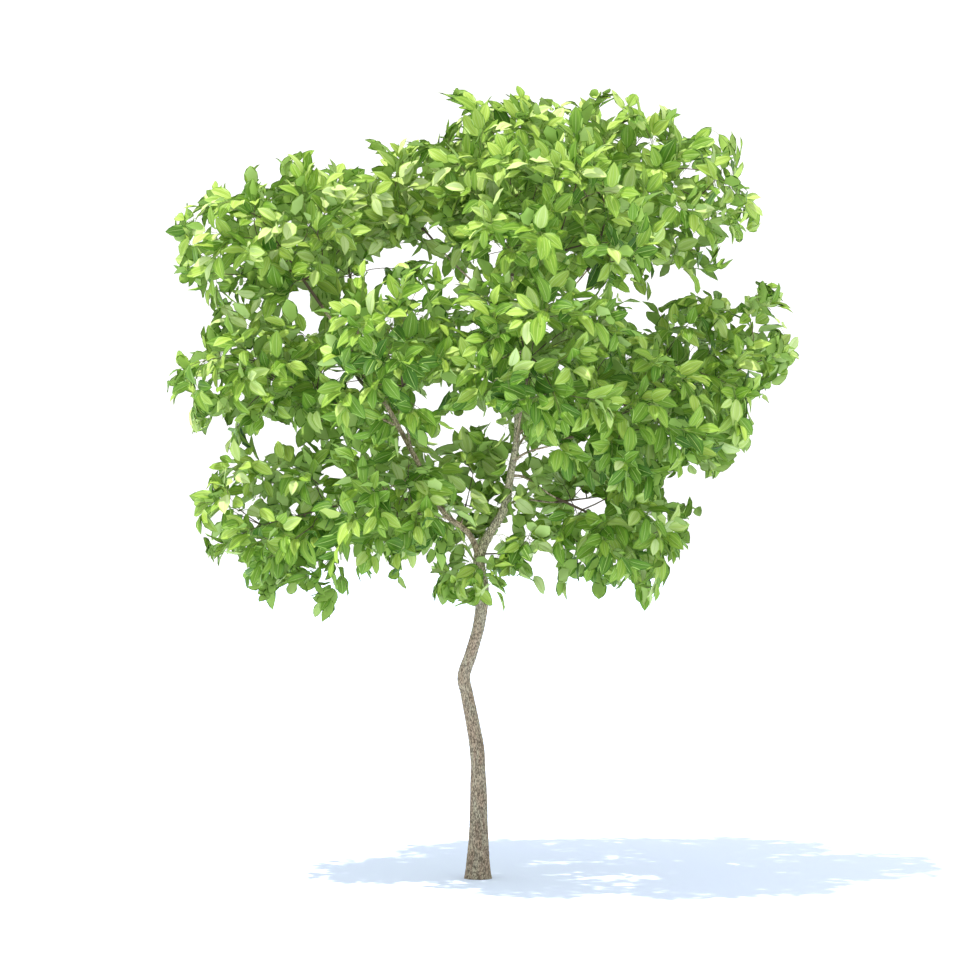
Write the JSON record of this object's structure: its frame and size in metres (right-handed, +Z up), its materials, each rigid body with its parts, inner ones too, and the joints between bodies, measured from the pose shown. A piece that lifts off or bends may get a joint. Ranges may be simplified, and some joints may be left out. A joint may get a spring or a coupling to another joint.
{
  "type": "apple tree",
  "caption": "Young broadleaf apple tree with a clear kinked stem, a fork, side boughs and an open, airy crown of leafy masses, rooted in level ground.",
  "frame": {"origin": "middle of the flat cut under the trunk, at ground level", "axes": "+Z up along the stem; +X to the right and -Y to the front of the tree as the picture shows it"},
  "size_m": [2.4141, 1.8249, 3.0248],
  "materials": {
    "bark": "grey-brown bark with fine dark cracks and shallow plates",
    "young_bark": "smoother brown bark of younger boughs",
    "foliage": "soft green leaves with a slight sheen on thin brown twigs"
  },
  "bodies": {
    "root": {"trunk": "bark", "right_bough": "young_bark", "left_bough": "young_bark", "low_left_bough": "young_bark", "low_front_bough": "young_bark", "low_right_bough": "young_bark", "low_back_left_bough": "young_bark", "low_back_right_bough": "young_bark", "inner_bough": "young_bark", "mid_left_bough": "young_bark", "mid_front_left_bough": "young_bark", "mid_front_bough": "young_bark", "mid_right_front_bough": "young_bark", "mid_right_bough": "young_bark", "mid_back_left_bough": "young_bark", "mid_back_right_bough": "young_bark", "mid_back_bough": "young_bark", "top_left_centre_bough": "young_bark", "top_right_bough": "young_bark", "top_front_bough": "young_bark", "top_back_bough": "young_bark", "top_back_left_bough": "young_bark", "low_left": "foliage", "low_front": "foliage", "low_right": "foliage", "low_back_left": "foliage", "low_back_right": "foliage", "fork_left": "foliage", "fork_right": "foliage", "inner": "foliage", "mid_left": "foliage", "mid_front_left": "foliage", "mid_front": "foliage", "mid_right_front": "foliage", "mid_right": "foliage", "mid_back_left": "foliage", "mid_back_right": "foliage", "mid_back": "foliage", "top_left": "foliage", "top_left_centre": "foliage", "top_centre": "foliage", "top_right": "foliage", "top_front": "foliage", "top_back": "foliage", "top_back_left": "foliage"}
  },
  "joints": []
}
